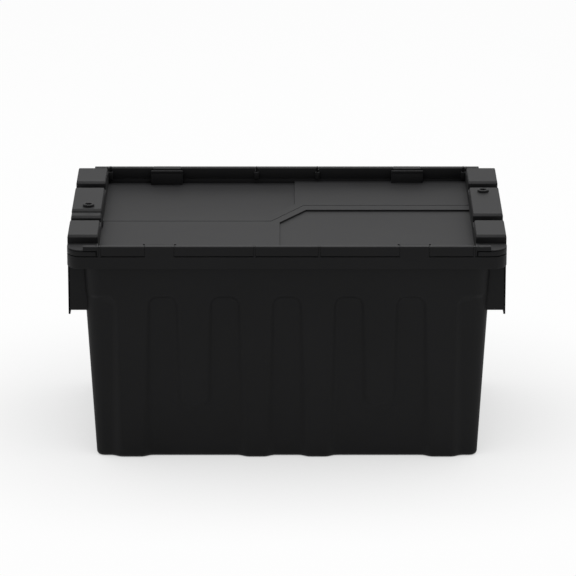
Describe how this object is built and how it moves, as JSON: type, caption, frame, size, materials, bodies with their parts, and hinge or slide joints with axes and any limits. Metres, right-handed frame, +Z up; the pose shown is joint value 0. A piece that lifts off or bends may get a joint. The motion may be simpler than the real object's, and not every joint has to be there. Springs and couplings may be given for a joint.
{
  "type": "storage tote with hinged lid",
  "caption": "Tapered stacking and nesting tote with two hinged lid halves that meet along a stepped line, ribbed walls and hand grips under the rim.",
  "frame": {"origin": "on the floor, under the middle of the box", "axes": "+X along the long side, +Z up, the long side that faces the viewer in the picture towards -Y"},
  "size_m": [0.6, 0.4, 0.3245],
  "materials": {
    "body_plastic": "fine moulded texture, satin",
    "lid_plastic": "fine moulded texture, satin",
    "hinge_steel": "drawn wire"
  },
  "bodies": {
    "body": {"tote_body": "body_plastic", "front_hinge_wire": "hinge_steel", "rear_hinge_wire": "hinge_steel"},
    "front_lid": {"front_lid": "lid_plastic"},
    "rear_lid": {"rear_lid": "lid_plastic"}
  },
  "joints": [
    {"name": "front_lid_hinge", "type": "hinge", "parent": "body", "child": "front_lid", "pos_m": [0, -0.197, 0.3076], "axis": [1, 0, 0], "range_deg": [0, 238]},
    {"name": "rear_lid_hinge", "type": "hinge", "parent": "body", "child": "rear_lid", "pos_m": [0, 0.197, 0.3076], "axis": [-1, 0, 0], "range_deg": [0, 238]}
  ]
}
